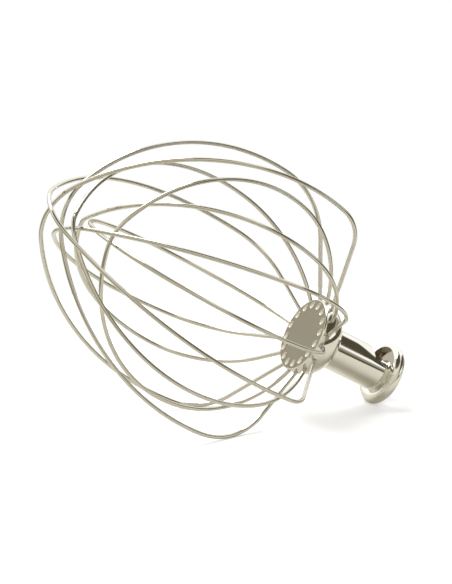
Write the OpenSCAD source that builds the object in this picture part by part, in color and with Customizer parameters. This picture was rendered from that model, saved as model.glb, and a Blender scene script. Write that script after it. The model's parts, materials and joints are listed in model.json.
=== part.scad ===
// Wire whip for a stand mixer: eight loops of round wire, bent by hand and
// staked into a turned hub that ends in a bayonet socket.
// The whip lies as it comes to rest, on its collar and on two wire shoulders.

/* [Wire] */
// Thickness of the loop wire
wire_d = 1.8; // [1.5:0.1:2]
// Rise of a wire where it leaves the hub, in degrees
wire_rise = 21.5; // [18:0.5:25]
// Length of wire held inside its hole
wire_seat = 5; // [4.4:0.1:5.6]

/* [Outer loops] */
// Height of the outer loops over the middle of their shoulder bend
outer_top = 97; // [91:1:103]
// Straight run from the hub to the shoulder
outer_run = 32; // [29:0.5:35]
// Radius of the shoulder bend
outer_shoulder = 27; // [23:0.5:31]
// Radius of the crown at the tip
outer_crown = 27; // [23:0.5:31]
// How much flatter the flank is than the tightest curve from shoulder to crown
outer_ease = 0.55; // [0.4:0.05:0.7]

/* [Inner loops] */
// Height of the inner loops over the middle of their shoulder bend
inner_top = 69; // [65:1:74]
// Straight run from the hub to the shoulder
inner_run = 8; // [6.5:0.5:11]
// Radius of the shoulder bend
inner_shoulder = 51; // [47:0.5:55]
// Radius of the crown at the tip
inner_crown = 13; // [11:0.5:16]
// How much flatter the flank is than the tightest curve from shoulder to crown
inner_ease = 0.14; // [0.1:0.01:0.2]

/* [Hub] */
// Radius of the flat face inside the cage
face_r = 16.8; // [16.2:0.1:17.6]
// Radius of the curve that rounds the bulb
bulb_round = 11.5; // [10.5:0.5:12.5]
// Distance of the widest point of the bulb behind the face
bulb_mid = 3.2; // [2.8:0.1:3.8]
// Distance of the wire holes behind the face, at one wire thickness inside its rim
hole_back = 3.8; // [3.4:0.1:4.2]
// Outside diameter of the shank
shank_d = 18.5; // [17.5:0.1:19.5]
// Length from the face to the end of the shank
shank_end = 41; // [40:0.2:43]
// Outside diameter of the rounded collar
collar_d = 28.6; // [27:0.2:30]
// Thickness of the rounded collar
collar_t = 6; // [5.6:0.1:6.6]
// Diameter of the neck between shank and collar
neck_d = 17; // [16:0.1:17.3]
// Length of the neck between shank and collar
neck_l = 1.3; // [1:0.1:2]
// Width of the chamfer round the face
face_edge = 0.3; // [0.2:0.05:0.5]

/* [Socket] */
// Bore for the mixer shaft
bore_d = 12.9; // [12.7:0.1:13.1]
// Depth of the bore
bore_l = 29; // [26:0.5:30]
// Width of the lead-in at the mouth of the bore
bore_lead = 0.8; // [0.5:0.1:1.2]
// Height of the open slot between collar and shank
slot_h = 7.7; // [7:0.1:8.2]
// Turn from the closed end of the slot to the mouth for the shaft pin, in degrees
slot_turn = 112; // [104:1:120]
// Width of that mouth
mouth_w = 4.4; // [4.2:0.1:4.8]
// Radius of the room that the shaft pin turns in
pin_reach = 12; // [11.6:0.1:12.4]
// Depth of that room below the top of the collar
pin_room = 2.6; // [2.2:0.1:3]
// Radius of the shallow dish pressed into the shank beside the slot
dish_r = 60; // [50:1:70]
// Distance from the middle of the shank to the floor of the dish
dish_floor = 7.7; // [7.5:0.1:8]

/* [Stakes] */
// Distance of the stake marks from the middle of the face
stake_r = 14; // [13.6:0.1:14.4]
// Diameter of the ring that each stake leaves
stake_d = 3; // [2.6:0.1:3.2]
// Height of that ring over the face
stake_h = 0.25; // [0.15:0.05:0.35]

/* [Clearances] */
// Play all round a wire in its hole
hole_play = 0.05; // [0.04:0.01:0.08]
// Gap left between the end of a wire and the floor of its hole
end_gap = 0.2; // [0.1:0.05:0.4]

/* [Hidden] */
$fn = 48;

// Each second stretch of a loop is this much thinner and laps into its neighbours
THINNER = 0.02;
LAP = 0.4;

// How each loop strays from its kind, as bent by hand. Loops 1, 3, 5 and 7 are
// inner loops and loops 2, 4, 6 and 8 are outer loops. Each row gives what is
// added to the height, to the left and right run and to the left and right
// shoulder, the shift of the tip, the lean in degrees, the share of the ease on
// the left and on the right, and what is added to the crown.
BENT = [
    [-5, -0.5, -0.5, -3, -3, 0, 0, 0.1, 0.1, 1],
    [12, -5.5, 7.5, -1.5, -14, 14, 4, 1.15, 1.6, -3],
    [11, -3.5, -2.5, 3.5, 5.5, 8, 4, 1.05, 0.7, 2],
    [-1, -2, -3.5, 5.5, 3.5, -1.5, 2, 0.85, 1, 0],
    [-3.5, -3, -3.5, -1, 0.5, -2.5, 9.5, 1.05, 0.85, 7.5],
    [4, 5, 0.5, -5, -3, -2, 0.5, 0.8, 1.2, 1.5],
    [-2.5, -5, 8.5, -4.5, -5.5, 8, -4.5, 1.2, 1.65, -5.5],
    [-5, 2, -4, 4.5, 7, 1.5, 2.5, 1.85, 0.85, 3.5]
];
LOOPS = len(BENT);
PITCH = 180 / LOOPS;
SIDES = [1, -1];

// The hub is turned about Z with its face at zero and its shank below
collar_tube = collar_t / 2;
collar_ring = collar_d / 2 - collar_tube;
collar_z = -shank_end - neck_l - collar_tube;
hub_end = collar_z - collar_tube;
bulb_ring = face_r - sqrt(pow(bulb_round, 2) - pow(bulb_mid, 2));
bulb_end = -bulb_mid - sqrt(pow(bulb_round, 2) - pow(shank_d / 2 - bulb_ring, 2));
slot_low = -shank_end - neck_l - pin_room;
slot_top = -shank_end - neck_l + slot_h;
SLOT_FROM = -50;
DISH_TURN = -26;
DISH_BELOW = 0.7;
// Relief over the corner where the shaft pin turns from the mouth into the slot
CORNER = 0.4;
// How far the flat faces of the collar lie inside its rounded rim
SUNK = 0.3;

// Wires leave the bulb along a cone through the hole point, in a loop's plane
hole_pt = [face_r - wire_d, -hole_back];
hole_dir = [cos(wire_rise), sin(wire_rise)];
hole_d = wire_d + 2 * hole_play;

// Distance from the hole point along the cone to the skin of the bulb
from_bulb = hole_pt - [bulb_ring, -bulb_mid];
along = from_bulb * hole_dir;
skin_s = -along + sqrt(pow(along, 2) - from_bulb * from_bulb + pow(bulb_round, 2));
wire_end_s = skin_s - wire_seat;

function is_outer(k) = k % 2 == 1;
function pick(k, outer, inner) = is_outer(k) ? outer : inner;
function loop_turn(k) = 270 - k * PITCH;
function lean(k) = BENT[k][6];
function tip_shift(k) = BENT[k][5];
function unit(v) = v / norm(v);
function arc_angle(from, to) = atan2(to[1] - from[1], to[0] - from[0]);

// Straight run of one side, up to where its shoulder starts
function run(k, side) =
    pick(k, outer_run, inner_run) + BENT[k][side == 1 ? 2 : 1];
function shoulder_r(k, side) =
    pick(k, outer_shoulder, inner_shoulder) + BENT[k][side == 1 ? 4 : 3];
function crown_r(k) = pick(k, outer_crown, inner_crown) + BENT[k][9];
function ease(k, side) =
    pick(k, outer_ease, inner_ease) * BENT[k][side == 1 ? 8 : 7];

// Height of the shoulder's middle on a loop bent to the plain sizes
function plain_shoulder(k) =
    hole_pt[1] + pick(k, outer_run, inner_run) * hole_dir[1]
        + pick(k, outer_shoulder, inner_shoulder) * hole_dir[0];
function loop_h(k) =
    plain_shoulder(k) + pick(k, outer_top, inner_top) + BENT[k][0];

// Middles of the shoulder and of the crown, seen with this side to the right
function shoulder_c(k, side) =
    hole_pt + run(k, side) * hole_dir
        + shoulder_r(k, side) * [-hole_dir[1], hole_dir[0]];
function crown_c(k, side) = [side * tip_shift(k), loop_h(k) - crown_r(k)];

// The flank touches shoulder and crown from outside, so its middle lies at a
// known distance from both of theirs
function flank_r(k, side) =
    let (reach = norm(crown_c(k, side) - shoulder_c(k, side)))
    (1 + ease(k, side)) / 2 * (reach + shoulder_r(k, side) + crown_r(k));
function flank_c(k, side) =
    let (
        a = shoulder_c(k, side),
        gap = crown_c(k, side) - a,
        d = norm(gap),
        ra = flank_r(k, side) - shoulder_r(k, side),
        rb = flank_r(k, side) - crown_r(k),
        m = (d * d + ra * ra - rb * rb) / (2 * d),
        h = sqrt(ra * ra - m * m)
    )
    a + (m * gap + h * [-gap[1], gap[0]]) / d;

// Arcs of one side from shoulder to crown: middle, radius, first and last angle
function arcs(k, side) =
    let (
        a = shoulder_c(k, side),
        b = flank_c(k, side),
        c = crown_c(k, side),
        first = wire_rise - 90,
        mid = arc_angle(b, a),
        last = arc_angle(b, c)
    )
    [
        [a, shoulder_r(k, side), first, mid],
        [b, flank_r(k, side), mid, last],
        [c, crown_r(k), last, 90]
    ];

// Directions of a loop's own plane: out along this side, and up from the holes
function out_dir(k, side) = side * [cos(loop_turn(k)), sin(loop_turn(k)), 0];
function up_dir(k) = [
    -sin(loop_turn(k)) * sin(lean(k)),
    cos(loop_turn(k)) * sin(lean(k)),
    cos(lean(k))
];
function in_space(k, side, p) =
    [0, 0, hole_pt[1]] + p[0] * out_dir(k, side)
        + (p[1] - hole_pt[1]) * up_dir(k);

// Point of an arc that lies farthest in direction n
function arc_far(k, side, arc, n) =
    let (
        turn = atan2(n * up_dir(k), n * out_dir(k, side)),
        t = min(max(turn, arc[2]), arc[3])
    )
    in_space(k, side, arc[0] + arc[1] * [cos(t), sin(t)]);

// Farthest point of a list in direction n, and of one side of a loop
function farthest(list, n) =
    let (reach = [for (p = list) p * n], top = max(reach))
    [for (i = [0:len(list) - 1]) if (reach[i] == top) list[i]][0];
function side_far(k, side, n) =
    farthest([for (arc = arcs(k, side)) arc_far(k, side, arc, n)], n)
        + wire_d / 2 * n;
function collar_far(n) =
    [0, 0, collar_z] + collar_ring * unit([n[0], n[1], 0]) + collar_tube * n;

// Direction of the table seen from the whip: the plane through the three lowest
// points turns until it touches the collar and the two wires that carry it
function table_dir(n, steps) =
    steps == 0 ? n :
    let (
        a = collar_far(n),
        b = side_far(3, 1, n),
        c = side_far(5, 1, n)
    )
    table_dir(unit(cross(b - a, c - a)), steps - 1);
down = table_dir([-0.85, 0, -0.53], 8);

// Directions of the resting frame seen from the whip
rest_x = unit([0, 0, -1] - down * [0, 0, -1] * down);
rest_y = cross(-down, rest_x);
rest_roll = atan2(down[1], down[0]) - 180;
rest_tip = -acos(-down[2]);

// Reach of the whole whip in direction n
function reach(n) = max([
    collar_far(n) * n,
    for (k = [0:LOOPS - 1]) for (side = SIDES) side_far(k, side, n) * n
]);
rest_shift = [
    (reach(-rest_x) - reach(rest_x)) / 2,
    (reach(-rest_y) - reach(rest_y)) / 2,
    reach(down)
];

// Sets the whip down on the table, middle of its outline over the origin
module at_rest() {
    translate(rest_shift)
        rotate([0, rest_tip, 0])
            rotate([0, 0, -rest_roll])
                children();
}

// Places a drawing made in a loop's own plane, x outward and y up
module in_plane(k, side) {
    rotate([0, 0, loop_turn(k)])
        translate([0, 0, hole_pt[1]])
            rotate([90 - lean(k), 0, 0])
                translate([0, -hole_pt[1], 0])
                    mirror([side == 1 ? 0 : 1, 0, 0])
                        children();
}

module straight_wire(from_s, to_s, d) {
    translate(hole_pt + from_s * hole_dir)
        rotate([0, 0, wire_rise])
            rotate([0, 90, 0])
                cylinder(d = d, h = to_s - from_s, $fn = 24);
}

// Bent stretch; it may run a lap past each of its ends
module bent_wire(middle, r, from, to, d, lap = 0) {
    extra = lap / r * 180 / PI;
    translate(middle)
        rotate([0, 0, from - extra])
            rotate_extrude(angle = to - from + 2 * extra, $fn = 180)
                translate([r, 0])
                    circle(d = d, $fn = 24);
}

// A stretch drawn thin ends inside the full stretch next to it
module wire_loop(k) {
    thin = wire_d - THINNER;
    color([0.70, 0.68, 0.61])
        at_rest() {
            for (side = SIDES)
                in_plane(k, side) {
                    arc = arcs(k, side);
                    straight_wire(wire_end_s, run(k, side) + LAP, thin);
                    bent_wire(arc[0][0], arc[0][1], arc[0][2], arc[0][3], wire_d);
                    bent_wire(arc[1][0], arc[1][1], arc[1][2], arc[1][3], thin, LAP);
                }
            in_plane(k, 1)
                bent_wire(crown_c(k, 1), crown_r(k), arcs(k, 1)[2][2],
                    180 - arcs(k, -1)[2][2], wire_d);
        }
}

module bulb() {
    far = bulb_ring + bulb_round + 1;
    rotate_extrude($fn = 96)
        intersection() {
            union() {
                translate([bulb_ring, -bulb_mid])
                    circle(r = bulb_round, $fn = 96);
                translate([0, bulb_end])
                    square([bulb_ring, -bulb_end]);
            }
            polygon([
                [0, bulb_end],
                [far, bulb_end],
                [far, face_r - face_edge - far],
                [face_r - face_edge, 0],
                [0, 0]
            ]);
        }
}

module shank() {
    difference() {
        union() {
            translate([0, 0, -shank_end])
                cylinder(d = shank_d, h = shank_end + bulb_end + 1, $fn = 96);
            translate([0, 0, collar_z])
                cylinder(d = neck_d, h = -shank_end - collar_z + 1, $fn = 96);
        }
        dish_cut();
    }
}

// Disc with a rounded rim that stands a little proud of its flat faces
module collar() {
    translate([0, 0, collar_z])
        rotate_extrude($fn = 96) {
            translate([collar_ring, 0])
                circle(r = collar_tube, $fn = 48);
            translate([0, SUNK - collar_tube])
                square([collar_ring, collar_t - 2 * SUNK]);
        }
}

// Shallow round dish in the skin of the shank, open to the collar
module dish_cut() {
    rotate([0, 0, DISH_TURN])
        translate([dish_floor + dish_r, 0, -shank_end - DISH_BELOW])
            sphere(r = dish_r, $fn = 180);
}

// Bore with a lead-in at its mouth
module bore() {
    translate([0, 0, hub_end - 1])
        cylinder(d = bore_d, h = bore_l + 1, $fn = 96);
    translate([0, 0, hub_end + SUNK - 1])
        cylinder(r1 = bore_d / 2 + bore_lead + 1, r2 = bore_d / 2 - 1,
            h = bore_lead + 2, $fn = 96);
}

// Room for the shaft pin: in through the collar, then round in the open slot
module pin_slot() {
    rotate([0, 0, SLOT_FROM])
        translate([0, 0, slot_low])
            rotate_extrude(angle = slot_turn, $fn = 96)
                square([pin_reach, slot_top - slot_low]);
    rotate([0, 0, SLOT_FROM + slot_turn])
        translate([0, -mouth_w / 2, hub_end - 1])
            cube([pin_reach - CORNER, mouth_w, slot_top + CORNER - hub_end + 1]);
}

module wire_hole(k, side) {
    in_plane(k, side)
        straight_wire(wire_end_s - end_gap, skin_s + wire_d, hole_d);
}

// Ring and dimple that a stake leaves in the face over each wire end
module stake_ring() {
    rotate_extrude($fn = 32)
        translate([stake_d / 2, 0])
            circle(r = stake_h, $fn = 16);
}

module stake_dimple() {
    translate([0, 0, stake_d * 0.9])
        rotate([90, 0, 0])
            sphere(d = stake_d * 2, $fn = 48);
}

module at_stakes() {
    for (i = [0:2 * LOOPS - 1])
        rotate([0, 0, i * PITCH])
            translate([stake_r, 0, 0])
                children();
}

module hub() {
    color([0.80, 0.79, 0.75])
        at_rest()
            difference() {
                union() {
                    bulb();
                    shank();
                    collar();
                    at_stakes() stake_ring();
                }
                bore();
                pin_slot();
                at_stakes() stake_dimple();
                for (k = [0:LOOPS - 1])
                    for (side = SIDES)
                        wire_hole(k, side);
            }
}

hub();
wire_loop(0);  // wire_loop_1
wire_loop(1);  // wire_loop_2
wire_loop(2);  // wire_loop_3
wire_loop(3);  // wire_loop_4
wire_loop(4);  // wire_loop_5
wire_loop(5);  // wire_loop_6
wire_loop(6);  // wire_loop_7
wire_loop(7);  // wire_loop_8
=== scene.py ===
"""Wire whip of a stand mixer, lying on a pale table: eight bent loops of drawn steel wire,
staked into a polished hub with a bayonet socket."""

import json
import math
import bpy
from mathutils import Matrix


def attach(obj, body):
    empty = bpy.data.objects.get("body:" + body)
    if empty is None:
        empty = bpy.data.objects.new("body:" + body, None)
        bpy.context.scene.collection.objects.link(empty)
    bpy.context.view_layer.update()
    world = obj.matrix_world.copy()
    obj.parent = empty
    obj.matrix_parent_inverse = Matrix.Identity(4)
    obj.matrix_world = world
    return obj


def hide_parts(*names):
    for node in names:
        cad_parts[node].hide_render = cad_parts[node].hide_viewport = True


bl_info = {
    "name": "Wire whip",
    "version": (1, 0, 0),
    "blender": (4, 5, 0),
    "location": "3D View > Sidebar > Wire whip",
    "description": "Bends the wire loops, turns the hub and sets the table of a stand mixer's wire whip",
    "category": "Mesh",
}

import bmesh
import bpy
from bpy.props import FloatProperty, FloatVectorProperty, IntProperty, PointerProperty
from mathutils import Matrix, Quaternion, Vector
from mathutils.bvhtree import BVHTree

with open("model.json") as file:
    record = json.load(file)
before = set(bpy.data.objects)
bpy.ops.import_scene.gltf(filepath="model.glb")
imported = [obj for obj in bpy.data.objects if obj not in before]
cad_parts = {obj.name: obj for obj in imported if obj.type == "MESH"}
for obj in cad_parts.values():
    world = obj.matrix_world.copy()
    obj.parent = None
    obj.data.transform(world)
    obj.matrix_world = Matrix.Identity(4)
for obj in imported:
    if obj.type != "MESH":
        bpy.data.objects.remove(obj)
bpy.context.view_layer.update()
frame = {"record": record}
MM = 0.001

# The bore mount gives the whip's own axis as it lies. The bore's station is how far
# behind the face the mount lies, and the roll is the whip's turn about its own axis.
MOUNT = frame["record"]["mounts"][0]
BORE_STATION = 25 * MM
REST_ROLL = math.radians(-2.090)

# How each loop strays from its kind, as bent by hand. Each row gives what is added to
# the height, to the left and right run and to the left and right shoulder, the shift of
# the tip, all in millimetres, the lean in degrees, the share of the ease on the left and
# on the right, and what is added to the crown.
BENT = (
    (-5, -0.5, -0.5, -3, -3, 0, 0, 0.1, 0.1, 1),
    (12, -5.5, 7.5, -1.5, -14, 14, 4, 1.15, 1.6, -3),
    (11, -3.5, -2.5, 3.5, 5.5, 8, 4, 1.05, 0.7, 2),
    (-1, -2, -3.5, 5.5, 3.5, -1.5, 2, 0.85, 1, 0),
    (-3.5, -3, -3.5, -1, 0.5, -2.5, 9.5, 1.05, 0.85, 7.5),
    (4, 5, 0.5, -5, -3, -2, 0.5, 0.8, 1.2, 1.5),
    (-2.5, -5, 8.5, -4.5, -5.5, 8, -4.5, 1.2, 1.65, -5.5),
    (-5, 2, -4, 4.5, 7, 1.5, 2.5, 1.85, 0.85, 3.5),
)
LOOPS = len(BENT)
PITCH = math.pi / LOOPS
FIRST_TURN = math.radians(270)

# Turns of the slot's closed end and of the dish beside it, and small reliefs
SLOT_FROM = math.radians(-50)
DISH_TURN = math.radians(-26)
DISH_BELOW = 0.7 * MM
CORNER = 0.4 * MM
SUNK = 0.3 * MM


# Studio walls: colour by the sine of the height looked at, from straight down to straight up
FRONT_WALL = (
    (-1.0, "#A8A496"),
    (-0.02, "#8A8678"),
    (0.02, "#C4C0B2"),
    (0.50, "#CCC8BA"),
    (0.80, "#E8E4D8"),
    (0.86, "#544F3F"),
    (1.0, "#4C4738"),
)
BACK_WALL = (
    (-1.0, "#A8A496"),
    (-0.02, "#A8A496"),
    (0.02, "#E4E1D8"),
    (0.30, "#FFFFFF"),
    (0.84, "#FFFFFF"),
    (0.90, "#544F3F"),
    (1.0, "#4C4738"),
)
SIDE_WALL = (
    (-1.0, "#6E6A5C"),
    (-0.02, "#4C4738"),
    (0.02, "#8E8A7C"),
    (0.24, "#8E8A7C"),
    (0.27, "#B8B4A6"),
    (0.29, "#4C4738"),
    (1.0, "#443F30"),
)
SIDE_PANEL = (
    (-1.0, "#6E6A5C"),
    (-0.02, "#443F30"),
    (0.00, "#FFFFFF"),
    (0.26, "#FFFFFF"),
    (0.29, "#4C4738"),
    (1.0, "#443F30"),
)


def length_prop(name, description, millimetres):
    """A size that the sidebar shows in the scene's units."""
    return FloatProperty(
        name=name,
        description=description,
        default=millimetres * MM,
        unit="LENGTH",
        precision=4,
    )


def hex_to_linear(code):
    """sRGB hex colour as linear red, green and blue."""
    channels = [int(code[i:i + 2], 16) / 255 for i in (1, 3, 5)]
    return [c / 12.92 if c <= 0.04045 else ((c + 0.055) / 1.055) ** 2.4 for c in channels]


def color_prop(name, description, code):
    """A colour given as an sRGB hex value."""
    return FloatVectorProperty(
        name=name,
        description=description,
        subtype="COLOR",
        size=3,
        min=0,
        max=1,
        default=hex_to_linear(code),
    )


class WhipWireSizes(bpy.types.PropertyGroup):
    """Sizes of the wire and of the two kinds of loop."""

    thickness: length_prop("Wire thickness", "Diameter of the drawn wire", 1.8)
    rise: FloatProperty(
        name="Rise",
        description="Angle at which a wire leaves the hub",
        default=math.radians(21.5),
        subtype="ANGLE",
    )
    seat: length_prop("Seat", "Length of wire held inside the hub", 5)
    outer_top: length_prop("Outer top", "Height of the outer loops over their shoulder", 97)
    outer_run: length_prop("Outer run", "Straight run from the hub to the outer shoulder", 32)
    outer_shoulder: length_prop("Outer shoulder", "Radius of the outer shoulder bend", 27)
    outer_crown: length_prop("Outer crown", "Radius of the outer loops at the tip", 27)
    outer_ease: FloatProperty(
        name="Outer ease",
        description="How much flatter the outer flank is than the tightest curve",
        default=0.55,
    )
    inner_top: length_prop("Inner top", "Height of the inner loops over their shoulder", 69)
    inner_run: length_prop("Inner run", "Straight run from the hub to the inner shoulder", 8)
    inner_shoulder: length_prop("Inner shoulder", "Radius of the inner shoulder bend", 51)
    inner_crown: length_prop("Inner crown", "Radius of the inner loops at the tip", 13)
    inner_ease: FloatProperty(
        name="Inner ease",
        description="How much flatter the inner flank is than the tightest curve",
        default=0.14,
    )
    sides: IntProperty(
        name="Sides", description="Faces round the wire", default=18, min=8, max=48
    )
    step: length_prop("Step", "Distance between rings along a bend", 1.1)


class WhipHubSizes(bpy.types.PropertyGroup):
    """Sizes of the turned hub."""

    face_radius: length_prop("Face radius", "Radius of the flat face inside the cage", 16.8)
    face_edge: length_prop("Face edge", "Width of the chamfer round the face", 0.3)
    bulb_round: length_prop("Bulb curve", "Radius of the curve that rounds the bulb", 11.5)
    bulb_mid: length_prop("Bulb middle", "Distance of the widest point behind the face", 3.2)
    hole_back: length_prop("Hole distance", "Distance of the wire holes behind the face", 3.8)
    shank: length_prop("Shank", "Outside diameter of the shank", 18.5)
    shank_end: length_prop("Shank end", "Length from the face to the end of the shank", 41)
    collar: length_prop("Collar", "Outside diameter of the rounded collar", 28.6)
    collar_thickness: length_prop("Collar thickness", "Thickness of the collar", 6)
    neck: length_prop("Neck", "Diameter between shank and collar", 17)
    neck_length: length_prop("Neck length", "Length between shank and collar", 1.3)
    bore: length_prop("Bore", "Bore for the mixer shaft", 12.9)
    bore_length: length_prop("Bore depth", "Depth of the bore", 29)
    bore_lead: length_prop("Lead-in", "Width of the lead-in at the mouth of the bore", 0.8)
    slot_height: length_prop("Slot height", "Height of the open slot over the collar", 7.7)
    slot_turn: FloatProperty(
        name="Slot turn",
        description="Turn from the closed end of the slot to the mouth for the shaft pin",
        default=math.radians(112),
        subtype="ANGLE",
    )
    mouth: length_prop("Mouth", "Width of the mouth for the shaft pin", 4.4)
    pin_reach: length_prop("Pin room", "Radius of the room that the shaft pin turns in", 12)
    pin_room: length_prop("Pin room depth", "Depth of that room below the collar's top", 2.6)
    dish: length_prop("Dish radius", "Radius of the dish pressed into the shank", 60)
    dish_floor: length_prop("Dish floor", "Distance from the middle to the dish's floor", 7.7)
    stake_ring: length_prop("Stake circle", "Distance of the stakes from the middle", 14)
    stake: length_prop("Stake", "Diameter of the ring that a stake leaves", 3)
    stake_height: length_prop("Stake height", "Height of that ring over the face", 0.25)
    soft: length_prop("Softness", "How far polishing has rounded the dish's edge", 1.6)


class WhipColors(bpy.types.PropertyGroup):
    """Colours of the steel."""

    wire: color_prop("Wire", "Drawn stainless wire", "#D0CDC1")
    hub: color_prop("Hub", "Polished stainless steel", "#E2E0D8")
    face: color_prop("Face", "Blasted face of the hub", "#96907F")
    # The stake mark colour is lighter than the face: a painted highlight on the stake rings and dimples.
    stake_highlight: color_prop("Stake marks", "Steel brightened by the stakes", "#CBC5B4")
    # The bore colour is darker and browner than the hub: painted shade on the walls of the bore, the mouth
    # and the wire holes.
    bore: color_prop("Bore", "Machined walls of the socket", "#8C806A")
    # The slot colour is darker than the hub: painted shade on the walls of the pin slot.
    slot: color_prop("Slot", "Buffed walls of the pin slot", "#A49E8E")
    floor: color_prop("Table", "Pale table", "#F0F2F8")


def turned_to_rest():
    """Matrix from the whip's own frame, face at zero and tip up, to the table."""
    tip = -Vector(MOUNT["axis"]).normalized()
    face = Vector(MOUNT["pos_m"]) + BORE_STATION * tip
    lean = Matrix.Rotation(math.atan2(tip.x, tip.z), 4, "Y")
    return Matrix.Translation(face) @ lean @ Matrix.Rotation(REST_ROLL, 4, "Z")


def polar(length, angle):
    """Point of the plane at that length and angle."""
    return Vector((length * math.cos(angle), length * math.sin(angle)))


class Loop:
    """Centre line of one wire loop, drawn in its own plane: x outward, y to the tip."""

    def __init__(self, wire, hub, number):
        kind = "outer" if number % 2 else "inner"
        row = BENT[number]
        run = getattr(wire, kind + "_run")
        bend = getattr(wire, kind + "_shoulder")
        ease = getattr(wire, kind + "_ease")
        self.turn = FIRST_TURN - number * PITCH
        self.lean = math.radians(row[6])
        self.runs = {-1: run + row[1] * MM, 1: run + row[2] * MM}
        self.shoulders = {-1: bend + row[3] * MM, 1: bend + row[4] * MM}
        self.eases = {-1: ease * row[7], 1: ease * row[8]}
        self.shift = row[5] * MM
        self.crown = getattr(wire, kind + "_crown") + row[9] * MM
        self.rise = wire.rise
        self.start = Vector((hub.face_radius - wire.thickness, -hub.hole_back))
        self.seat = skin_distance(wire, hub) - wire.seat
        plain = self.start.y + run * math.sin(self.rise) + bend * math.cos(self.rise)
        self.height = plain + getattr(wire, kind + "_top") + row[0] * MM

    def shoulder_middle(self, side):
        along = polar(self.runs[side], self.rise)
        return self.start + along + polar(self.shoulders[side], self.rise + math.pi / 2)

    def crown_middle(self, side):
        return Vector((side * self.shift, self.height - self.crown))

    def flank(self, side):
        """Radius and middle of the flank that touches shoulder and crown."""
        first = self.shoulder_middle(side)
        bend = self.shoulders[side]
        gap = self.crown_middle(side) - first
        radius = (1 + self.eases[side]) / 2 * (gap.length + bend + self.crown)
        from_first = radius - bend
        from_last = radius - self.crown
        along = (gap.length_squared + from_first ** 2 - from_last ** 2) / (2 * gap.length)
        across = math.sqrt(from_first ** 2 - along ** 2)
        ahead = gap.normalized()
        return radius, first + along * ahead + across * Vector((-ahead.y, ahead.x))

    def side_points(self, side, step):
        """Points from the end in the hub to the top of the crown."""
        radius, middle = self.flank(side)
        shoulder = self.shoulder_middle(side)
        crown = self.crown_middle(side)
        turn = [self.rise - math.pi / 2]
        turn.append(math.atan2(shoulder.y - middle.y, shoulder.x - middle.x))
        turn.append(math.atan2(crown.y - middle.y, crown.x - middle.x))
        turn.append(math.pi / 2)
        sizes = (self.shoulders[side], radius, self.crown)
        arcs = zip((shoulder, middle, crown), sizes, turn, turn[1:])
        points = [self.start + polar(self.seat, self.rise)]
        straight = self.runs[side] - self.seat
        count = max(2, round(straight / step))
        points += [points[0] + polar(straight * i / count, self.rise) for i in range(1, count)]
        for centre, size, begin, end in arcs:
            count = max(3, round(size * (end - begin) / step))
            points += [centre + polar(size, begin + (end - begin) * i / count) for i in range(count)]
        points.append(crown + polar(self.crown, math.pi / 2))
        return points

    def in_space(self, side, point):
        """Point of this side in the whip's own frame."""
        out = side * Vector((math.cos(self.turn), math.sin(self.turn), 0))
        up = Vector((
            -math.sin(self.turn) * math.sin(self.lean),
            math.cos(self.turn) * math.sin(self.lean),
            math.cos(self.lean),
        ))
        return Vector((0, 0, self.start.y)) + point.x * out + (point.y - self.start.y) * up

    def points(self, step):
        """Points of the whole loop, from one end in the hub to the other."""
        right = [self.in_space(1, p) for p in self.side_points(1, step)]
        left = [self.in_space(-1, p) for p in self.side_points(-1, step)]
        return right + left[-2::-1]


def skin_distance(wire, hub):
    """Distance from a wire's hole point, along the wire, to the skin of the bulb."""
    ring = bulb_ring(hub)
    point = Vector((hub.face_radius - wire.thickness - ring, hub.bulb_mid - hub.hole_back))
    along = point.dot(polar(1, wire.rise))
    return -along + math.sqrt(along ** 2 - point.length_squared + hub.bulb_round ** 2)


def bulb_ring(hub):
    """Radius of the ring on which the bulb's curve is struck."""
    return hub.face_radius - math.sqrt(hub.bulb_round ** 2 - hub.bulb_mid ** 2)


def add_node(tree, kind, settings=None, **inputs):
    """Adds a node, sets its properties, and sets or links its inputs, named with underscores."""
    node = tree.nodes.new(kind)
    for name, value in (settings or {}).items():
        setattr(node, name, value)
    for name, value in inputs.items():
        key = int(name[1:]) if name[0] == "i" and name[1:].isdigit() else name.replace("_", " ")
        socket = node.inputs[key]
        if isinstance(value, bpy.types.NodeSocket):
            tree.links.new(value, socket)
        else:
            socket.default_value = value
    return node


def metal(name, color, roughness):
    """A metal's material, its tree and its surface shader, with constants on the sockets."""
    material = bpy.data.materials.new(name)
    material.use_nodes = True
    tree = material.node_tree
    shader = tree.nodes["Principled BSDF"]
    shader.inputs["Base Color"].default_value = (*color, 1)
    shader.inputs["Metallic"].default_value = 1
    shader.inputs["Roughness"].default_value = roughness
    material.diffuse_color = (*color, 1)
    return material, tree, shader


def drawn_wire():
    """Drawn stainless wire: the die leaves fine lines along it, which blur what it reflects."""
    material, tree, shader = metal("drawn_stainless_wire", bpy.context.scene.whip_colors.wire, 0.16)
    place = add_node(tree, "ShaderNodeAttribute", {"attribute_name": "wire_place"})
    lines = add_node(tree, "ShaderNodeTexNoise", Vector=place.outputs["Vector"], Scale=6.0, Detail=3.0)
    bump = add_node(tree, "ShaderNodeBump", Height=lines.outputs["Fac"], Strength=0.12, Distance=0.05 * MM)
    tree.links.new(bump.outputs["Normal"], shader.inputs["Normal"])
    haze = add_node(
        tree, "ShaderNodeMapRange", Value=lines.outputs["Fac"],
        From_Min=0.3, From_Max=0.7, To_Min=0.07, To_Max=0.16,
    )
    tree.links.new(haze.outputs["Result"], shader.inputs["Roughness"])
    return material


def polished_steel():
    """Stainless steel buffed on a wheel: a near mirror with a faint haze from handling."""
    material, tree, shader = metal("polished_stainless", bpy.context.scene.whip_colors.hub, 0.07)
    place = add_node(tree, "ShaderNodeTexCoord")
    cloud = add_node(
        tree, "ShaderNodeTexNoise", Vector=place.outputs["Object"], Scale=1 / (9 * MM), Detail=4.0
    )
    haze = add_node(
        tree, "ShaderNodeMapRange", Value=cloud.outputs["Fac"],
        From_Min=0.35, From_Max=0.7, To_Min=0.05, To_Max=0.13,
    )
    tree.links.new(haze.outputs["Result"], shader.inputs["Roughness"])
    return material


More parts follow.
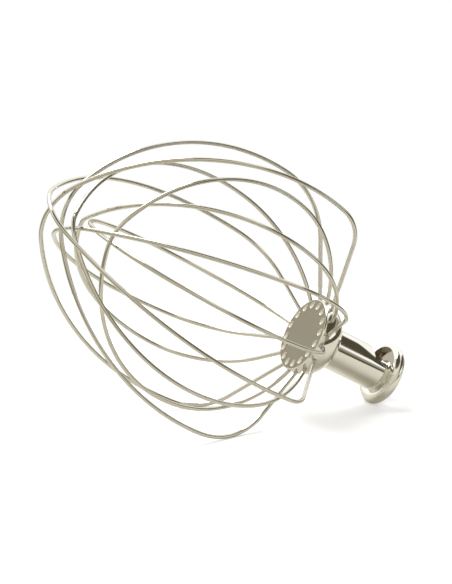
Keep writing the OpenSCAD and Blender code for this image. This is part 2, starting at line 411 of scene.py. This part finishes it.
def blasted_face():
    """Steel left dull after pressing: an even fine grain that shows no reflection."""
    material, tree, shader = metal("dull_pressed_face", bpy.context.scene.whip_colors.face, 0.5)
    place = add_node(tree, "ShaderNodeTexCoord")
    grain = add_node(
        tree, "ShaderNodeTexNoise", Vector=place.outputs["Object"], Scale=1 / (0.5 * MM), Detail=4.0
    )
    bump = add_node(tree, "ShaderNodeBump", Height=grain.outputs["Fac"], Strength=0.25, Distance=0.05 * MM)
    tree.links.new(bump.outputs["Normal"], shader.inputs["Normal"])
    return material


def shaded_bore_wall():
    """Machined steel inside the socket and the slot: fine tool rings, coloured darker and browner than the
    hub as painted shade in these hollows.
    """
    material, tree, shader = metal("machined_bore_shaded", bpy.context.scene.whip_colors.bore, 0.32)
    place = add_node(tree, "ShaderNodeTexCoord")
    rings = add_node(
        tree, "ShaderNodeTexNoise", Vector=place.outputs["Object"], Scale=1 / (1.2 * MM), Detail=3.0
    )
    bump = add_node(tree, "ShaderNodeBump", Height=rings.outputs["Fac"], Strength=0.3, Distance=0.05 * MM)
    tree.links.new(bump.outputs["Normal"], shader.inputs["Normal"])
    return material


def slot_wall_shaded():
    """Slot walls smoothed with the rest of the hub: glossy, and coloured darker than the hub as painted
    shade down in the cut.
    """
    material, _, _ = metal("slot_wall_shaded", bpy.context.scene.whip_colors.slot, 0.14)
    return material


def new_object(name, mesh):
    """Puts a mesh into the scene under that name."""
    thing = bpy.data.objects.new(name, mesh)
    bpy.context.scene.collection.objects.link(thing)
    return thing


def set_input(modifier, name, value):
    """Sets a Geometry Nodes input by its socket's identifier."""
    for item in modifier.node_group.interface.items_tree:
        if item.item_type == "SOCKET" and item.in_out == "INPUT" and item.name == name:
            modifier[item.identifier] = value
            return
    raise KeyError(name)


def baked(thing, name):
    """The evaluated result as a plain mesh object; the drawing that made it is removed."""
    graph = bpy.context.evaluated_depsgraph_get()
    mesh = bpy.data.meshes.new_from_object(thing.evaluated_get(graph))
    mesh.name = name
    bpy.data.objects.remove(thing)
    return new_object(name, mesh)


def wire_tree():
    """Geometry Nodes that sweep a round wire along a drawn line, with its place stored."""
    tree = bpy.data.node_groups.new("swept_wire", "GeometryNodeTree")
    for name, kind in (
        ("Line", "NodeSocketGeometry"),
        ("Thickness", "NodeSocketFloat"),
        ("Sides", "NodeSocketInt"),
        ("Finish", "NodeSocketMaterial"),
    ):
        tree.interface.new_socket(name=name, in_out="INPUT", socket_type=kind)
    tree.interface.new_socket(name="Wire", in_out="OUTPUT", socket_type="NodeSocketGeometry")
    given = tree.nodes.new("NodeGroupInput").outputs
    line = add_node(tree, "GeometryNodeMeshToCurve", Mesh=given["Line"])
    along = add_node(tree, "GeometryNodeSplineParameter")
    point = {"domain": "POINT"}
    kept_line = add_node(tree, "GeometryNodeCaptureAttribute", point, Geometry=line.outputs["Curve"])
    kept_line.capture_items.new("FLOAT", "Along")
    tree.links.new(along.outputs["Length"], kept_line.inputs["Along"])
    radius = add_node(tree, "ShaderNodeMath", {"operation": "MULTIPLY"}, i0=given["Thickness"], i1=0.5)
    ring = add_node(
        tree, "GeometryNodeCurvePrimitiveCircle",
        Resolution=given["Sides"], Radius=radius.outputs["Value"],
    )
    around = add_node(tree, "GeometryNodeInputPosition")
    kept_ring = add_node(tree, "GeometryNodeCaptureAttribute", point, Geometry=ring.outputs["Curve"])
    kept_ring.capture_items.new("VECTOR", "Around")
    tree.links.new(around.outputs["Position"], kept_ring.inputs["Around"])
    swept = add_node(
        tree, "GeometryNodeCurveToMesh",
        Curve=kept_line.outputs["Geometry"],
        Profile_Curve=kept_ring.outputs["Geometry"],
        Fill_Caps=True,
    )
    sides = add_node(tree, "ShaderNodeSeparateXYZ", Vector=kept_ring.outputs["Around"])
    across = [
        add_node(tree, "ShaderNodeMath", {"operation": "DIVIDE"}, i0=side, i1=radius.outputs["Value"])
        for side in (sides.outputs["X"], sides.outputs["Y"])
    ]
    length = add_node(
        tree, "ShaderNodeMath", {"operation": "MULTIPLY"}, i0=kept_line.outputs["Along"], i1=1 / (60 * MM)
    )
    drawn = add_node(
        tree, "ShaderNodeCombineXYZ",
        X=across[0].outputs["Value"], Y=across[1].outputs["Value"], Z=length.outputs["Value"],
    )
    stored = add_node(
        tree, "GeometryNodeStoreNamedAttribute", {"data_type": "FLOAT_VECTOR", "domain": "POINT"},
        Geometry=swept.outputs["Mesh"], Name="wire_place", Value=drawn.outputs["Vector"],
    )
    smooth = add_node(tree, "GeometryNodeSetShadeSmooth", Geometry=stored.outputs["Geometry"])
    real = add_node(tree, "GeometryNodeRealizeInstances", Geometry=smooth.outputs["Geometry"])
    finish = add_node(
        tree, "GeometryNodeSetMaterial", Geometry=real.outputs["Geometry"], Material=given["Finish"]
    )
    done = tree.nodes.new("NodeGroupOutput")
    tree.links.new(finish.outputs["Geometry"], done.inputs["Wire"])
    return tree


class WHIP_OT_wires(bpy.types.Operator):
    """Bend the eight wire loops and seat them in the hub"""

    bl_idname = "whip.wires"
    bl_label = "Wire loops"

    def execute(self, context):
        wire, hub = context.scene.whip_wires, context.scene.whip_hub
        rest = turned_to_rest()
        tree = wire_tree()
        finish = drawn_wire()
        for number in range(LOOPS):
            points = [rest @ p for p in Loop(wire, hub, number).points(wire.step)]
            mesh = bpy.data.meshes.new("line")
            mesh.from_pydata(points, [(i, i + 1) for i in range(len(points) - 1)], [])
            line = new_object("line", mesh)
            sweep = line.modifiers.new("Sweep", "NODES")
            sweep.node_group = tree
            set_input(sweep, "Thickness", wire.thickness)
            set_input(sweep, "Sides", wire.sides)
            set_input(sweep, "Finish", finish)
            name = f"wire_loop_{number + 1}"
            piece = baked(line, name + "_drawn")
            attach(piece, "root")
            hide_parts(name)
        return {"FINISHED"}


def arc_points(middle, radius, begin, end, count):
    """Points of an arc in the turning plane, in degrees."""
    return [
        middle + polar(radius, math.radians(begin + (end - begin) * i / count))
        for i in range(count + 1)
    ]


def rounded(points, radii, count=4):
    """The outline with some of its corners rounded, each over the given length."""
    result = []
    for i, point in enumerate(points):
        reach = radii.get(i, 0)
        if not reach:
            result.append(point)
            continue
        before = (points[i - 1] - point).normalized() * reach
        after = (points[i + 1] - point).normalized() * reach
        for k in range(count + 1):
            t = k / count
            result.append(point + before * (1 - t) ** 2 + after * t ** 2)
    return result


def body_outline(hub):
    """Outline of bulb, shank and neck from the middle of the face round to the axis."""
    ring = bulb_ring(hub)
    middle = Vector((ring, -hub.bulb_mid))
    shank = hub.shank / 2
    neck = hub.neck / 2
    # The chamfer leaves the face at 45 degrees and meets the bulb's curve at this angle
    away = Vector((hub.face_radius - hub.face_edge - ring, hub.bulb_mid))
    reach = (away.x + away.y) / math.sqrt(2) / hub.bulb_round
    first = 45 - math.degrees(math.acos(reach))
    last = -math.degrees(math.acos((shank - ring) / hub.bulb_round))
    collar_middle = -(hub.shank_end + hub.neck_length + hub.collar_thickness / 2)
    arc = arc_points(middle, hub.bulb_round, first, last, 44)
    flat = [Vector(((hub.face_radius - hub.face_edge) * i / 6, 0)) for i in range(7)]
    end = arc[-1].y
    count = 44
    straight = [Vector((shank, end + (-hub.shank_end - end) * i / count)) for i in range(1, count + 1)]
    tail = [Vector((neck, -hub.shank_end))]
    tail += [Vector((neck, -hub.shank_end - hub.neck_length * i / 3)) for i in (1, 2, 3)]
    tail += [Vector((neck, collar_middle)), Vector((0, collar_middle))]
    points = flat + arc + straight + tail
    corner = {
        len(flat) - 1: 0.12 * MM,
        len(flat): 0.12 * MM,
        len(flat) + len(arc) - 1: 0.25 * MM,
        len(flat) + len(arc) + count - 1: 0.3 * MM,
    }
    return rounded(points, corner)


def lathe(name, outline, turns, dent=None, closed=False):
    """A mesh turned about the Z axis from an outline of radius and height."""
    shape = bmesh.new()
    rows = []
    for point in outline:
        if point.x < 1e-7:
            rows.append([shape.verts.new((0, 0, point.y))] * turns)
            continue
        row = []
        for k in range(turns):
            angle = 2 * math.pi * k / turns
            radius = dent(point.x, point.y, angle) if dent else point.x
            row.append(shape.verts.new((radius * math.cos(angle), radius * math.sin(angle), point.y)))
        rows.append(row)
    pairs = list(zip(rows, rows[1:] + rows[:1])) if closed else list(zip(rows, rows[1:]))
    for upper, lower in pairs:
        for k in range(turns):
            j = (k + 1) % turns
            corners = []
            for vert in (upper[k], lower[k], lower[j], upper[j]):
                if vert not in corners:
                    corners.append(vert)
            if len(corners) > 2:
                shape.faces.new(corners)
    bmesh.ops.recalc_face_normals(shape, faces=shape.faces)
    mesh = bpy.data.meshes.new(name)
    shape.to_mesh(mesh)
    shape.free()
    mesh.polygons.foreach_set("use_smooth", [True] * len(mesh.polygons))
    return new_object(name, mesh)


def dish_dent(hub):
    """Function that gives the shank's radius where the round dish is pressed into it."""
    out = hub.dish_floor + hub.dish
    low = -hub.shank_end - DISH_BELOW

    def dent(radius, height, angle):
        if radius > hub.shank / 2 + 0.01 * MM or radius < hub.neck / 2 - 0.01 * MM:
            return radius
        near = out * math.cos(angle - DISH_TURN)
        inside = near ** 2 - out ** 2 - (height - low) ** 2 + hub.dish ** 2
        if near <= 0 or inside <= 0:
            return radius
        cut = near - math.sqrt(inside)
        mix = max(hub.soft - abs(cut - radius), 0) / hub.soft
        return min(cut, radius) - mix * mix * hub.soft / 4

    return dent


def collar_outline(hub, count=72):
    """Outline of the collar: flat inside, with a rounded rim that stands a little proud."""
    tube = hub.collar_thickness / 2
    height = -(hub.shank_end + hub.neck_length + tube)
    middle = Vector((hub.collar / 2 - tube, height))
    first = 90 + math.degrees(math.acos((tube - SUNK) / tube))
    rim = arc_points(middle, tube, first, -first, count)
    flat = tube - SUNK
    return [Vector((0, height + flat)), *rim, Vector((0, height - flat))]


def cutter(name, mesh_maker, material):
    """A closed tool shape that is cut from the hub and leaves its material on the walls."""
    shape = bmesh.new()
    mesh_maker(shape)
    bmesh.ops.recalc_face_normals(shape, faces=shape.faces)
    mesh = bpy.data.meshes.new(name)
    shape.to_mesh(mesh)
    shape.free()
    mesh.materials.append(material)
    return new_object(name, mesh)


def hub_end(hub):
    """Height of the collar's lowest ring."""
    return -(hub.shank_end + hub.neck_length + hub.collar_thickness)


def bore_tool(hub, material):
    """Bore with a lead-in at its mouth."""
    low = hub_end(hub)
    top = low + hub.bore_length
    radius = hub.bore / 2
    mouth = low + SUNK
    outline = [
        Vector((0, top)),
        Vector((radius, top)),
        Vector((radius, mouth + hub.bore_lead)),
        Vector((radius + hub.bore_lead + 1 * MM, mouth - 1 * MM)),
        Vector((0, mouth - 1 * MM)),
    ]
    tool = lathe("bore_tool", outline, 128)
    tool.data.materials.append(material)
    tool.data.polygons.foreach_set("use_smooth", [False] * len(tool.data.polygons))
    return tool


def slot_tool(hub, material):
    """Room for the shaft pin, part of a ring round the axis."""
    low = -(hub.shank_end + hub.neck_length + hub.pin_room)
    top = -(hub.shank_end + hub.neck_length) + hub.slot_height
    steps = 56

    def ring(shape):
        rims = []
        for height in (low, top):
            rim = [shape.verts.new((0, 0, height))]
            for i in range(steps + 1):
                spot = polar(hub.pin_reach, SLOT_FROM + hub.slot_turn * i / steps)
                rim.append(shape.verts.new((*spot, height)))
            rims.append(rim)
        shape.faces.new(rims[0])
        shape.faces.new(rims[1])
        count = len(rims[0])
        for i in range(count):
            j = (i + 1) % count
            shape.faces.new((rims[0][i], rims[0][j], rims[1][j], rims[1][i]))

    return cutter("slot_tool", ring, material)


def mouth_tool(hub, material):
    """Mouth that lets the shaft pin in through the collar."""
    end = hub_end(hub) - 1 * MM
    top = -(hub.shank_end + hub.neck_length) + hub.slot_height + CORNER
    reach = hub.pin_reach - CORNER
    turn = Matrix.Rotation(SLOT_FROM + hub.slot_turn, 4, "Z")
    size = Matrix.Diagonal((reach, hub.mouth, top - end, 1))
    place = Matrix.Translation((reach / 2, 0, (top + end) / 2))

    def block(shape):
        bmesh.ops.create_cube(shape, size=1, matrix=turn @ place @ size)

    return cutter("mouth_tool", block, material)


def hole_tool(wire, hub, number, side, material):
    """Blind hole for one wire end, a hair wider than the wire."""
    loop = Loop(wire, hub, number)
    inner = loop.in_space(side, loop.start + polar(loop.seat - 0.2 * MM, loop.rise))
    outer = loop.in_space(side, loop.start + polar(loop.seat + wire.seat + 2 * MM, loop.rise))
    ahead = outer - inner
    turn = ahead.to_track_quat("Z", "Y").to_matrix().to_4x4()
    place = Matrix.Translation((inner + outer) / 2) @ turn

    def drill(shape):
        bmesh.ops.create_cone(
            shape, cap_ends=True, segments=24, radius1=wire.thickness / 2 + 0.12 * MM,
            radius2=wire.thickness / 2 + 0.12 * MM, depth=ahead.length, matrix=place,
        )

    return cutter(f"hole_tool_{number}_{side}", drill, material)


def stake_highlight_steel():
    """Steel lighter than the face where the stakes were struck: a painted highlight on the stake rings and
    dimples.
    """
    material, _, _ = metal("stake_highlight_steel", bpy.context.scene.whip_colors.stake_highlight, 0.3)
    return material


def stake_marks(hub, highlight_paint):
    """Ring and dimple that a stake leaves in the face over each wire end."""
    radius = hub.stake / 2
    rings, dimples = [], []
    ring_outline = arc_points(Vector((radius, 0)), hub.stake_height, 0, 345, 23)
    drop = Vector((0, 0.9 * hub.stake))
    bowl_outline = arc_points(drop, hub.stake, 90, -90, 60)
    bowl_outline[0].x = bowl_outline[-1].x = 0
    for k in range(2 * LOOPS):
        spot = polar(hub.stake_ring, k * PITCH)
        place = Matrix.Translation((*spot, 0))
        ring = lathe(f"stake_ring_{k}", ring_outline, 40, closed=True)
        bowl = lathe(f"stake_bowl_{k}", bowl_outline, 40)
        for thing in (ring, bowl):
            # Rings and dimples take the colour with the painted highlight.
            thing.data.materials.append(highlight_paint)
            thing.data.transform(place)
        rings.append(ring)
        dimples.append(bowl)
    return rings, dimples


def carve(target, tools, operation):
    """Adds or cuts the tools, one after the other, and keeps the plain result."""
    for tool in tools:
        step = target.modifiers.new(tool.name, "BOOLEAN")
        step.operation = operation
        step.object = tool
        step.solver = "MANIFOLD"
        step.material_mode = "TRANSFER"
    name = target.name
    graph = bpy.context.evaluated_depsgraph_get()
    mesh = bpy.data.meshes.new_from_object(target.evaluated_get(graph))
    if not len(mesh.polygons):
        raise RuntimeError("cutting the hub left nothing")
    bpy.data.objects.remove(target)
    for tool in tools:
        bpy.data.objects.remove(tool)
    return new_object(name, mesh)


def keep_shine(thing, skins, polished):
    """Gives the skin the normals that it had before it was cut, so that reflections run clean."""
    spots, directions, corners = [], [], []
    for mesh in skins:
        mesh.calc_loop_triangles()
        first = len(spots)
        spots += [v.co.copy() for v in mesh.vertices]
        directions += [v.normal.copy() for v in mesh.vertices]
        corners += [tuple(first + i for i in t.vertices) for t in mesh.loop_triangles]
    tree = BVHTree.FromPolygons(spots, corners)
    mesh = thing.data
    normals = [(0, 0, 0)] * len(mesh.loops)
    for face in mesh.polygons:
        face.use_smooth = mesh.materials[face.material_index] in polished
        if not face.use_smooth:
            continue
        for loop in face.loop_indices:
            # A point a little inside the face finds the skin that this face belongs to
            corner = mesh.vertices[mesh.loops[loop].vertex_index].co
            spot, _, index, _ = tree.find_nearest(corner.lerp(face.center, 0.02))
            a, b, c = corners[index]
            weights = barycentric(spot, spots[a], spots[b], spots[c])
            normal = sum((directions[i] * w for i, w in zip((a, b, c), weights)), Vector())
            normals[loop] = normal.normalized() * (1 if normal.dot(face.normal) > 0 else -1)
    mesh.normals_split_custom_set(normals)


def barycentric(point, a, b, c):
    """Weights of a triangle's corners at a point in it."""
    u, v, w = b - a, c - a, point - a
    uu, uv, vv, wu, wv = u.dot(u), u.dot(v), v.dot(v), w.dot(u), w.dot(v)
    scale = uu * vv - uv * uv
    if abs(scale) < 1e-24:
        return 1, 0, 0
    second = (vv * wu - uv * wv) / scale
    third = (uu * wv - uv * wu) / scale
    return 1 - second - third, second, third


class WHIP_OT_hub(bpy.types.Operator):
    """Turn the hub, cut its socket and drill its wire holes"""

    bl_idname = "whip.hub"
    bl_label = "Hub"

    def execute(self, context):
        wire, hub = context.scene.whip_wires, context.scene.whip_hub
        shine, dull, bore_shade, stake_highlight = polished_steel(), blasted_face(), shaded_bore_wall(), stake_highlight_steel()
        body = lathe("hub_turned", body_outline(hub), 256, dish_dent(hub))
        body.data.materials.append(shine)
        body.data.materials.append(dull)
        for face in body.data.polygons:
            centre = face.center
            flat = centre.z > -0.01 * MM and centre.xy.length < hub.face_radius - hub.face_edge
            face.material_index = 1 if flat else 0
        collar = lathe("collar", collar_outline(hub), 256)
        collar.data.materials.append(shine)
        rings, dimples = stake_marks(hub, stake_highlight)
        skins = [thing.data.copy() for thing in (body, collar, *rings, *dimples)]
        body = carve(body, [collar, *rings], "UNION")
        # The bore, the mouth and the wire holes leave walls in the colour with painted shade.
        tools = [bore_tool(hub, bore_shade), slot_tool(hub, slot_wall_shaded()), mouth_tool(hub, bore_shade)]
        for number in range(LOOPS):
            for side in (1, -1):
                tools.append(hole_tool(wire, hub, number, side, bore_shade))
        body = carve(body, tools + dimples, "DIFFERENCE")
        keep_shine(body, skins, (shine, dull, stake_highlight))
        body.data.transform(turned_to_rest())
        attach(body, "root")
        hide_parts("hub")
        return {"FINISHED"}


class WHIP_OT_stage(bpy.types.Operator):
    """Set the table, the light and the camera"""

    bl_idname = "whip.stage"
    bl_label = "Stage"

    def execute(self, context):
        set_table()
        set_light()
        set_camera()
        return {"FINISHED"}


def mixed(tree, factor, first, second):
    """A shader between two others."""
    return add_node(tree, "ShaderNodeMixShader", Fac=factor, i1=first, i2=second).outputs["Shader"]


def set_table():
    """Round pale table. The eye sees it fade to white outside the shadow."""
    mesh = bpy.data.meshes.new("table")
    rim = [(*polar(0.22, 2 * math.pi * i / 96), 0) for i in range(96)]
    mesh.from_pydata(rim, [], [tuple(range(96))])
    table = new_object("table", mesh)
    material = bpy.data.materials.new("pale_table")
    material.use_nodes = True
    tree = material.node_tree
    tree.nodes.clear()
    color = (*bpy.context.scene.whip_colors.floor, 1)
    paint = add_node(tree, "ShaderNodeBsdfDiffuse", Color=color).outputs["BSDF"]
    path = add_node(tree, "ShaderNodeLightPath").outputs
    shown = paint
    dusk = add_node(tree, "ShaderNodeBsdfDiffuse", Color=(*hex_to_linear("#EEECE4"), 1))
    shown = mixed(tree, path["Is Glossy Ray"], shown, dusk.outputs["BSDF"])
    glow = add_node(tree, "ShaderNodeEmission", Color=(1, 1, 1, 1), Strength=0.36)
    lit = add_node(tree, "ShaderNodeAddShader", i0=paint, i1=glow.outputs["Emission"])
    shown = mixed(tree, path["Is Camera Ray"], shown, lit.outputs["Shader"])
    clear = add_node(tree, "ShaderNodeBsdfTransparent").outputs["BSDF"]
    below = add_node(tree, "ShaderNodeNewGeometry").outputs["Backfacing"]
    end = add_node(tree, "ShaderNodeOutputMaterial")
    tree.links.new(mixed(tree, below, shown, clear), end.inputs["Surface"])
    mesh.materials.append(material)


def banded(tree, height, bands):
    """Colour by the height of the direction looked in, from a list of heights and colours."""
    ramp = add_node(tree, "ShaderNodeValToRGB", Fac=height)
    stops = ramp.color_ramp.elements
    while len(stops) < len(bands):
        stops.new(1)
    for stop, (position, code) in zip(stops, bands):
        stop.position = (position + 1) / 2
        stop.color = (*hex_to_linear(code), 1)
    return ramp.outputs["Color"]


def toward(tree, look, direction, low, high):
    """How far the direction looked in turns toward a given one, eased between two limits."""
    dot = add_node(tree, "ShaderNodeVectorMath", {"operation": "DOT_PRODUCT"}, i0=look, i1=direction)
    return add_node(
        tree, "ShaderNodeMapRange", {"interpolation_type": "SMOOTHSTEP"},
        Value=dot.outputs["Value"], From_Min=low, From_Max=high,
    ).outputs["Result"]


def blended(tree, factor, first, second):
    """A colour between two others."""
    node = add_node(tree, "ShaderNodeMix", {"data_type": "RGBA"}, i0=factor, i6=first, i7=second)
    return node.outputs[2]


def set_light():
    """White surround to the eye, and a studio of light and dark panels to the metal."""
    world = bpy.data.worlds.new("studio")
    bpy.context.scene.world = world
    world.use_nodes = True
    tree = world.node_tree
    tree.nodes.clear()
    look = add_node(tree, "ShaderNodeTexCoord").outputs["Generated"]
    up = add_node(tree, "ShaderNodeSeparateXYZ", Vector=look).outputs["Z"]
    height = add_node(tree, "ShaderNodeMapRange", Value=up, From_Min=-1.0, From_Max=1.0)
    height = height.outputs["Result"]
    front, back, side, panel = (
        banded(tree, height, bands) for bands in (FRONT_WALL, BACK_WALL, SIDE_WALL, SIDE_PANEL)
    )
    ahead = (0.35, 0.94, 0)
    right = (0.934, -0.357, 0)
    wall = blended(tree, toward(tree, look, ahead, -0.1, 0.1), front, back)
    lit = blended(tree, toward(tree, look, ahead, -0.50, -0.42), side, panel)
    lit = blended(tree, toward(tree, look, ahead, 0.05, 0.15), lit, side)
    wall = blended(tree, toward(tree, look, right, 0.64, 0.72), wall, lit)
    studio = add_node(tree, "ShaderNodeBackground", Color=wall, Strength=1.3)
    white = add_node(tree, "ShaderNodeBackground", Color=(1, 1, 1, 1), Strength=1.0)
    camera = add_node(tree, "ShaderNodeLightPath").outputs["Is Camera Ray"]
    end = add_node(tree, "ShaderNodeOutputWorld")
    shown = mixed(tree, camera, studio.outputs["Background"], white.outputs["Background"])
    tree.links.new(shown, end.inputs["Surface"])
    lamp = bpy.data.lights.new("key", "AREA")
    lamp.energy = 7
    lamp.size = 0.6
    key = bpy.data.objects.new("key", lamp)
    key.location = (-0.05, 0.55, 1.1)
    key.rotation_mode = "QUATERNION"
    key.rotation_quaternion = (Vector((0, 0, 0.05)) - key.location).to_track_quat("-Z", "Y")
    bpy.context.scene.collection.objects.link(key)


def set_camera():
    """Camera at the viewing angle of the photograph, a long lens about a metre away."""
    aim = Vector((-0.68, -0.64, 60.50)) * MM
    azimuth, elevation, roll = (math.radians(v) for v in (-20.79, 16.14, 0.58))
    distance = 976.5 * MM
    back = Vector((
        math.sin(azimuth) * math.cos(elevation),
        -math.cos(azimuth) * math.cos(elevation),
        math.sin(elevation),
    ))
    lens = bpy.data.cameras.new("camera")
    lens.lens = 138.96
    lens.sensor_width = 36
    lens.clip_start, lens.clip_end = 0.05, 50
    camera = bpy.data.objects.new("camera", lens)
    camera.location = aim + back * distance
    camera.rotation_mode = "QUATERNION"
    camera.rotation_quaternion = (-back).to_track_quat("-Z", "Y") @ Quaternion((0, 0, 1), -roll)
    bpy.context.scene.collection.objects.link(camera)
    bpy.context.scene.camera = camera


class WHIP_PT_panel(bpy.types.Panel):
    """Sizes and steps of the wire whip"""

    bl_label = "Wire whip"
    bl_space_type = "VIEW_3D"
    bl_region_type = "UI"
    bl_category = "Wire whip"

    def draw(self, context):
        layout = self.layout
        for operator in OPERATORS:
            layout.operator(operator.bl_idname)
        for group in (context.scene.whip_wires, context.scene.whip_hub, context.scene.whip_colors):
            box = layout.box()
            for name in group.__annotations__:
                box.prop(group, name)


GROUPS = {"whip_wires": WhipWireSizes, "whip_hub": WhipHubSizes, "whip_colors": WhipColors}
OPERATORS = (WHIP_OT_wires, WHIP_OT_hub, WHIP_OT_stage)
CLASSES = (*GROUPS.values(), *OPERATORS, WHIP_PT_panel)


def register():
    for item in CLASSES:
        bpy.utils.register_class(item)
    for name, group in GROUPS.items():
        setattr(bpy.types.Scene, name, PointerProperty(type=group))


def unregister():
    for name in GROUPS:
        delattr(bpy.types.Scene, name)
    for item in reversed(CLASSES):
        bpy.utils.unregister_class(item)


def main():
    register()
    bpy.context.scene.view_settings.view_transform = "Standard"
    bpy.ops.whip.wires()
    bpy.ops.whip.hub()
    bpy.ops.whip.stage()


if __name__ == "__main__":
    main()
